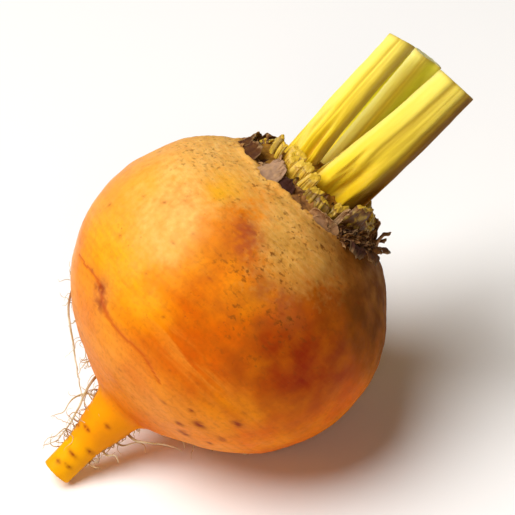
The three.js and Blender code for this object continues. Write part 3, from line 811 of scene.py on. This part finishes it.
def petioleShape(spec, seed, start, ragged=0.0):
    kind = petiole["torn" if ragged else "cut"]
    share, above, line, across, inward, heading = petioleLine(spec, start)
    turns = np.linspace(0, 2 * np.pi, petiole["around"], endpoint=False)
    c, s = np.cos(turns), np.sin(turns)
    outer = s < 0
    flare = (spec.get("flare", 1.2) - 1) * np.exp(-above / 5)
    half = spec["width"] / 2 * (1 + spec.get("taper", 0) * (1 - share) + flare)
    x = half * np.sign(c) * np.abs(c) ** 0.85
    beside = x / half
    ribCount, ribHeight = petiole["ribs"]
    tuck = kind["tuck"] * (1 - ramp(above, 7, 14))
    bulge = np.where(outer, 1 + ribHeight * np.cos(ribCount * turns) - tuck, 1)
    y = spec["depth"] / 2 * np.sign(s) * np.abs(s) ** 0.8 * bulge * (1 - 0.2 * np.exp(-above / 4))
    channelAt = spec.get("channelAt", 0)
    channelDepth, channelWidth = petiole["channel"]
    y = y - np.where(outer, 0, channelDepth * spec["depth"] * bell(beside, channelAt, channelWidth))
    groove = grooveMask(spec, share, beside, outer)
    y = y - np.sign(s) * groove * petiole["grooveDepth"] * spec["depth"] / 6
    foldStrength, fadeFrom, fadeTo = kind["folds"]
    nearFoot = foldStrength * (1 - ramp(above, fadeFrom, fadeTo))
    folds = np.clip(1.6 * fractalAt((beside * 3.4, seed, above / 30), 1, 2, seed), -1, 1)
    y = y + spec.get("folds", petiole["foldDepth"]) * folds * nearFoot * outer * spec["depth"] / 6

    offset = across[:, None] * x[..., None] + inward[:, None] * y[..., None]
    stray = fractalAt((x / 3, y / 3, above / 9), 1, 3, seed)
    section = line[:, None] + offset + unit(offset) * petiole["wander"] * stray[..., None]
    torn = ragged * fractalAt((x[-1], y[-1], 0), 1.8, 3, seed + 3)
    slope = spec.get("slant", 0) * x[-1] + spec.get("bevel", 0) * y[-1] + torn
    length = above[-1, 0]
    section += heading[:, None] * (ramp(share, 1 - 4.5 / length, 1) * slope)[..., None]

    fibre = np.stack([x, y, np.broadcast_to(above, x.shape)], -1)
    faceRows, faceFibre = [], []
    edge, middleTop = section[-1], section[-1].mean(0)
    for inset, height in kind["face"]:
        faceFibre.append(fibre[-1] * [inset, inset, 1])
        rise = height + kind["stray"] * fractalAt(faceFibre[-1], 1.1, 3, seed + 7)
        faceRows.append(middleTop + (edge - middleTop) * inset + heading[-1] * rise[:, None])

    def onAll(side, face):  # a mask on the sides, and one value on the cut face
        face = np.full((len(faceRows), len(turns)), float(face))
        return np.concatenate([np.broadcast_to(side, x.shape), face])

    rim = onAll(ramp(share, 1 - 0.9 / length, 1), 0)
    rim[len(x)] = 1
    olive, dead = spec.get("olive", 0), spec.get("dead", 0)
    agedShadeFrom, agedShadeTo, agedShadeMost = spec.get("aged", (0, 1, 0))
    # painted light on the lit side of each stalk
    paintedLitSide = np.where(outer, 1 - ramp(beside, -0.45, 0), ramp(beside, 0.3, 0.6))
    edges = ramp(np.abs(beside), 0.84, 0.97)
    masks = {
        "fibre": np.concatenate([fibre, faceFibre]) + 40 * seed,
        "rise": onAll(share, 1),
        # painted shade in the grooves and the fold troughs near the foot
        "groove": onAll(np.clip(groove + 0.45 * nearFoot * ramp(-folds, 0.05, 0.6), 0, 1), 0),
        # pale ribs and painted highlight on the edges and fold crests
        "ridge": onAll(np.clip(edges + 0.6 * nearFoot * ramp(folds, 0, 0.5), 0, 1), 0),
        "channel": onAll(~outer * bell(beside, channelAt, 0.5) * ramp(share, 0.15, 0.6), 0),
        "cut": onAll(0, 1),
        "cutRim": rim,
        # stain and painted shade near the foot
        "stain": onAll(1 - ramp(above, 3, 9), 0),
        "olive": onAll(olive, 0.4 * olive),
        "dead": onAll(dead, 0.6 * dead),
        # painted shade, with some ageing, on one flank
        "aged": onAll(agedShadeMost * ramp(beside, agedShadeFrom, agedShadeTo), 0),
        "pale": onAll(spec.get("pale", 0.5) * paintedLitSide, 0),
    }
    shape = loft(np.concatenate([section, faceRows]), masks)
    shape["points"] = fromCrown(shape["points"])
    return shape


for k, (node, spec) in enumerate(stalks.items()):
    addPiece(node + "_ribbed", petioleShape(spec, k + 1, 0.06), stalkMaterial, "leaf_stalk", node)
for k, spec in enumerate(stubs):
    node = f"cut_leaf_base_{k + 1:02d}"
    olive, dead = spec.get("olive", 0), spec.get("dead", 0)
    shape = petioleShape(spec, k + 20, 0.1, 0.5 + 0.5 * olive)
    worn = 0.15 + 0.6 * olive + 0.4 * dead
    # on the leaf bases this mask is only the dried, torn top, no shade
    shape["masks"]["stain"] = worn * ramp(shape["masks"]["rise"], 0.86, 1) * (1 - shape["masks"]["cut"])
    addPiece(node + "_torn", shape, baseMaterial, "leaf_base", node)
print("leaf stalks and bases made")

# Dry scales on the rim of the crown, from the same side. Tint goes from dark through brown to tan; the
# darkest are partly painted shade in hollows between the scales.
scaleFields = ("around", "out", "wide", "long", "lean", "bend", "tint", "pale", "curl", "bleach")
scales = [dict(zip(scaleFields, row)) for row in [
    (12, 20.3, 6.4, 3.2, -30, -20, 0.1, 0.9),
    (36, 20.6, 6.8, 3.4, -16, -24, 0.1, 0.9),
    (62, 21.8, 6.6, 5.6, -32, -24, 1, 0.2, 0.1),
    # near black: painted shade over the dark hollow between the scales
    (76, 20.7, 5, 2.8, -24, -20, 0, 0.1),
    (91, 21.2, 8.6, 4, -50, -16, 0.55, 0.5, 0.08),
    (107, 21, 6.6, 2.8, -24, 50, 0.7, 1, 0.06),
    (118.5, 19.8, 1.5, 6, -10, 24, 1, 1, 0.12, 0.8),
    (133, 21, 6.4, 6.4, 36, 90, 0.05, 0.7),
    (149, 20.6, 6.4, 6, 44, 76, 0.3, 0.6),
    (165, 20.2, 6, 5, 16, 60, 0.15, 0.8),
    (182, 20, 7, 4.6, -16, 20, 0.6, 0.5),
    (201, 20.4, 7.6, 5, -30, -20, 0.85, 0.4),
    (222, 20.8, 8, 4.2, -30, -10, 0.4, 0.6),
    (243, 20.4, 7, 5.2, 10, 60, 0.2, 0.8),
    (264, 21, 8.4, 4.8, -38, -20, 0.9, 0.3),
    (285, 20.4, 7, 4, -20, 40, 0.5, 0.7),
    (305, 21, 8, 5, -44, -14, 0.75, 0.4),
    (326, 20.4, 7, 4.4, -24, -30, 0.35, 0.6),
    (348, 20.6, 7.4, 3.8, -40, -10, 0.65, 0.6),
]]

paper = {
    "columns": 40,
    "rows": 28,
    "thick": 0.42,  # mm
    "setIn": 0.8,
    "crumple": 0.55,
    "roll": 0.9,  # how far the dry edges curl away, mm
}


def paperShape(spec, seed, tear=0.28, detail=1.0):
    columns, rows = int(paper["columns"] * detail), int(paper["rows"] * detail)
    wide, long = spec["wide"], spec["long"]
    up = np.linspace(0, 1, rows)[:, None]
    sideways = np.linspace(-1, 1, columns)[None]
    tatter = fractalAt((sideways * wide / 3, seed, 0), 1, 4, seed)
    reach = up * (1 + tear * (tatter - 0.3 * np.abs(sideways) ** 3) * up)
    fine = np.linspace(0, 1.5, 90)
    angle = np.radians(spec["lean"] + spec["bend"] * fine)
    stride = (long + paper["setIn"]) * fine[1]
    away = np.interp(reach, fine, np.cumsum(np.sin(angle)) * stride)
    top = np.interp(reach, fine, np.cumsum(np.cos(angle)) * stride) - paper["setIn"]
    angle = np.interp(reach, fine, angle)
    side = 1 + 0.12 * fractalAt((0, seed, up * long / 2), 1, 3, seed + 2)
    x = wide / 2 * np.sqrt(1 - 0.6 * up**3) * sideways * side
    crumple = fractalAt((x / 2.4, up * long / 2.4, seed), 1, 3, seed + 1)
    rolled = paper["roll"] * (ramp(np.abs(sideways), 0.6, 1) * up + ramp(up, 0.7, 1)) * min(1, long / 4)
    out = spec.get("curl", 0.12) * wide * (1 - sideways**2) + paper["crumple"] * crumple * (0.3 + up) + rolled
    thickness = paper["thick"] * (1 - 0.6 * up) * (1 - 0.5 * sideways**6) / 2

    def sheet(offset):
        return np.stack([x, -away - offset * np.cos(angle), top - offset * np.sin(angle)], -1)

    rings = np.concatenate([sheet(out + thickness), sheet(out - thickness)[:, ::-1]], 1)

    def onBoth(front, back):
        front, back = (np.broadcast_to(mask, x.shape) for mask in (front, back))
        return np.concatenate([front, back[:, ::-1]], 1)

    edge = np.clip(ramp(up, 0.84, 1) + 0.8 * up * ramp(np.abs(sideways), 0.84, 1), 0, 1) * spec["pale"]
    edge = np.maximum(edge, spec.get("bleach", 0))
    low = 1 - ramp(up, 0.05, 0.4)
    veins = [x, out, up * long] if wide < 1.4 * long else [up * long, out, x]  # the longer way
    masks = {
        "fibre": np.stack([onBoth(vein, vein) for vein in veins], -1) + 17 * seed,
        "edge": onBoth(edge, edge),
        "dark": onBoth(0.5 * low, 0.4 + 0.6 * low),
        "tint": onBoth(spec["tint"], 0.6 * spec["tint"]),
    }
    turn = math.radians(spec["around"] + 90)
    height = beet["rimHeight"] + (beet["rimRadius"] - spec["out"]) * beet["rimSlope"]
    px, py, pz = np.moveaxis(rings, -1, 0)
    turned = np.stack([*rotated(px, py, turn), pz], -1)
    shape = loft(turned + onCrown(spec["around"], spec["out"], height), masks)
    shape["points"] = fromCrown(shape["points"])
    return shape


for k, spec in enumerate(scales):
    node = f"dry_scale_{k + 1:02d}"
    addPiece(node + "_paper", paperShape(spec, k + 1), paperMaterial, "dry_scale", node)

# What is left of older scales: strips of torn sheath that lie along the rim, shreds between them, and a clump
# where some have dropped over the shoulder
litter = {"strips": 80, "shreds": 90, "clump": 110, "clumpSide": 140, "seed": 23}


def strip(draw):
    wide = draw.uniform(2.5, 8)
    return {"around": draw.uniform(0, 360), "out": draw.uniform(18.2, 21.8), "wide": wide,
            "long": draw.uniform(0.5, 1.5), "lean": draw.uniform(-70, -20), "bend": draw.uniform(-30, 40),
            "curl": wide / 8 / beet["rimRadius"] + draw.uniform(0, 0.02), "tint": draw.uniform(0.25, 0.9),
            "pale": draw.uniform(0, 1)}


def shred(draw, inClump):
    return {"around": litter["clumpSide"] + draw.gauss(0, 12) if inClump else draw.uniform(0, 360),
            "out": draw.uniform(18, 22) if inClump else draw.uniform(14, 20.5),
            "lean": draw.uniform(-20, 80) if inClump else draw.uniform(-70, 0),
            "wide": draw.uniform(0.4, 1.7), "long": draw.uniform(0.8, 2.6), "bend": draw.uniform(-40, 80),
            "curl": draw.uniform(0.05, 0.3), "tint": draw.random() * (0.5 if inClump else 1),
            "pale": draw.random()}


def makeLitter():
    draw = random.Random(litter["seed"])
    specs = [(strip(draw), 0.9, 0.5) for _ in range(litter["strips"])]
    specs += [(shred(draw, False), draw.uniform(0.2, 0.6), 0.28) for _ in range(litter["shreds"])]
    specs += [(shred(draw, True), draw.uniform(0.2, 0.6), 0.28) for _ in range(litter["clump"])]
    shapes = [paperShape(spec, 40 + k, tear, detail) for k, (spec, tear, detail) in enumerate(specs)]
    addPiece("crownShreds", joined(shapes), paperMaterial, "dry_scale")


makeLitter()
print("dry scales made")

# Rootlets
rootlets = {
    # the side they grow on, their thickness in mm, and points along the root, out from its axis and sideways
    "main": {
        "rootlet_long": (-43, 0.62, [
            (-35, 9.4, 0.5), (-39, 9, 1.2), (-44.6, 7.2, 1), (-49, 6, 0.2), (-54, 5.4, -0.6),
            (-58, 6.6, -1)]),
        "rootlet_looped": (-43, 0.5, [
            (-25, 28, 3), (-29, 25.4, 3.6), (-34.5, 18.4, 4), (-39, 12.4, 4), (-42, 8.4, 3.6),
            (-44, 3.4, 3)]),
        "rootlet_left": (-43, 0.5, [
            (-40, 4, -2), (-41.5, 8, -2.6), (-45, 9.6, -3), (-49, 9, -3.4), (-52, 10.4, -3.2)]),
        "rootlet_under": (137, 0.62, [
            (-41, 4, 0), (-41, 8, -0.6), (-38.8, 11, -1), (-36.4, 14.4, -0.6), (-35, 18, 0.4)]),
        "rootlet_under_curled": (137, 0.5, [
            (-45, 3.4, 1), (-44.6, 6.6, 1.6), (-42.4, 8.4, 2.2), (-40.8, 10.2, 2.4), (-41.6, 12, 1.8)]),
        "rootlet_under_short": (137, 0.5, [
            (-48, 3, -0.6), (-48.4, 5.8, -1.2), (-46.8, 7.4, -1.8), (-47.2, 9.2, -2)]),
    },
    "fine": 130,
    "underLength": 0.5,  # the fine ones under the tap root are shorter
    "seed": 31,
}


def fibreShape(line, thick, sides):
    heading = unit(np.gradient(line, axis=0))
    first = unit(np.cross(heading, [0.3, 0.5, 0.81]))
    second = np.cross(heading, first)
    share = np.linspace(0, 1, len(line))[:, None]
    radius = thick / 2 * (1.25 - share)
    turns = np.linspace(0, 2 * np.pi, sides, endpoint=False)
    rings = (line[:, None] + first[:, None] * (np.cos(turns) * radius)[..., None]
             + second[:, None] * (np.sin(turns) * radius)[..., None])
    return loft(rings, {"place": rings, "foot": np.broadcast_to(1 - ramp(share, 0, 0.3), rings.shape[:2])})


def mainRootlet(side, thick, knots, seed):
    turn = math.radians(side)
    out = np.array([math.cos(turn), math.sin(turn), 0])
    beside = np.cross([0, 0, 1], out)
    points = [np.array([0, 0, along]) + out * away + beside * aside for along, away, aside in knots]
    line = evenlySpaced(splineThrough(points, 10), 60)
    bend = np.stack([fractalAt(line, 3.5, 2, seed + k) for k in range(3)], -1)
    return fibreShape(line + 0.5 * bend * np.linspace(0, 1, 60)[:, None], thick, 8)


def fineRootlet(draw):
    furrow = draw.choice(beet["furrowSides"])
    side = furrow + draw.gauss(0, 5)
    along = draw.uniform(-55, -20)
    start, outward, roundWay, upWay = onSkin(along, side, -0.3)
    heading = unit(outward + roundWay * draw.gauss(0, 0.5) - upWay * draw.uniform(-0.2, 1.2))
    length = draw.uniform(3, 11) * (0.6 if along > -30 else 1)
    length *= rootlets["underLength"] if furrow > 0 else 1
    line = [start]
    for _ in range(14):
        wiggle = np.array([draw.gauss(0, 0.34) for _ in range(3)])
        heading = unit(heading + wiggle - 0.1 * outward)
        line.append(line[-1] + heading * length / 14)
    return fibreShape(evenlySpaced(splineThrough(line, 3), 24), draw.uniform(0.16, 0.32), 5)


def makeRootlets():
    draw = random.Random(rootlets["seed"])
    main = [mainRootlet(*spec, 3 * k) for k, spec in enumerate(rootlets["main"].values())]
    fine = [fineRootlet(draw) for _ in range(rootlets["fine"])]
    fine = [shape for shape in fine if toRow(shape["points"])[:, 2].min() > 0.3]
    addPiece("rootletsMain", joined(main), hairMaterial, "rootlet", *rootlets["main"])
    addPiece("rootletsFine", joined(fine), hairMaterial, "rootlet")


makeRootlets()
print("rootlets made")

# Stage
stage = {
    "floorHalf": 3.0,  # m
    "floorColour": "#F8F7F5",
    "worldStrength": 0.036,
    "worldColour": "#FFDCBC",
    "lampDistance": 1.4,  # m
    # each lamp's direction, size in m, power in W and colour
    "lamps": {
        "key": ((-0.45, 0.06, 0.89), 1.2, 27.6, "#FFFFFF"),
        "fill": ((-0.3, -0.76, 0.58), 0.4, 3.3, "#FFE6CC"),  # reaches the middle stalk between the others
    },
    "aim": (3.6, -1.3, 47.7),  # mm
    "azimuth": -24.3,
    "elevation": 36.8,
    "roll": 3.3,
    "distance": 0.64,
    "lens": 187.8,
}


def makeFloor():
    half = stage["floorHalf"]
    corners = [(-half, -half, 0), (half, -half, 0), (half, half, 0), (-half, half, 0)]
    mesh = bpy.data.meshes.new("floor")
    mesh.from_pydata(corners, [], [(0, 1, 2, 3)])
    mesh.materials.append(newMaterial("matteFloor", {
        "Base Color": linear(stage["floorColour"]), "Roughness": 0.9, "Specular IOR Level": 0.1})[0])
    placed("floor", mesh)


def aimed(name, data, direction, distance, roll=0):  # a lamp or camera that looks at the beet
    thing = placed(name, data)
    direction = Vector(direction)
    thing.location = Vector(stage["aim"]) * mm + direction.normalized() * distance
    thing.rotation_mode = "QUATERNION"
    thing.rotation_quaternion = direction.to_track_quat("Z", "Y") @ Quaternion((0, 0, 1), math.radians(-roll))
    return thing


def makeLight(name, direction, size, power, colour):
    lamp = bpy.data.lights.new(name, "AREA")
    lamp.color = linear(colour)[:3]
    lamp.shape = "DISK"
    lamp.size = size
    lamp.energy = power
    aimed(name, lamp, direction, stage["lampDistance"])


def makeCamera():
    camera = bpy.data.cameras.new("camera")
    camera.lens = stage["lens"]
    azimuth, elevation = math.radians(stage["azimuth"]), math.radians(stage["elevation"])
    level = math.cos(elevation)
    back = (math.sin(azimuth) * level, -math.cos(azimuth) * level, math.sin(elevation))
    scene.camera = aimed("camera", camera, back, stage["distance"], stage["roll"])


makeFloor()
for name, lamp in stage["lamps"].items():
    makeLight(name, *lamp)
world = bpy.data.worlds.new("studio")
world.use_nodes = True
sky = world.node_tree.nodes["Background"].inputs
sky["Color"].default_value = linear(stage["worldColour"])
sky["Strength"].default_value = stage["worldStrength"]
scene.world = world
scene.view_settings.view_transform = "Standard"
makeCamera()
print("stage set")
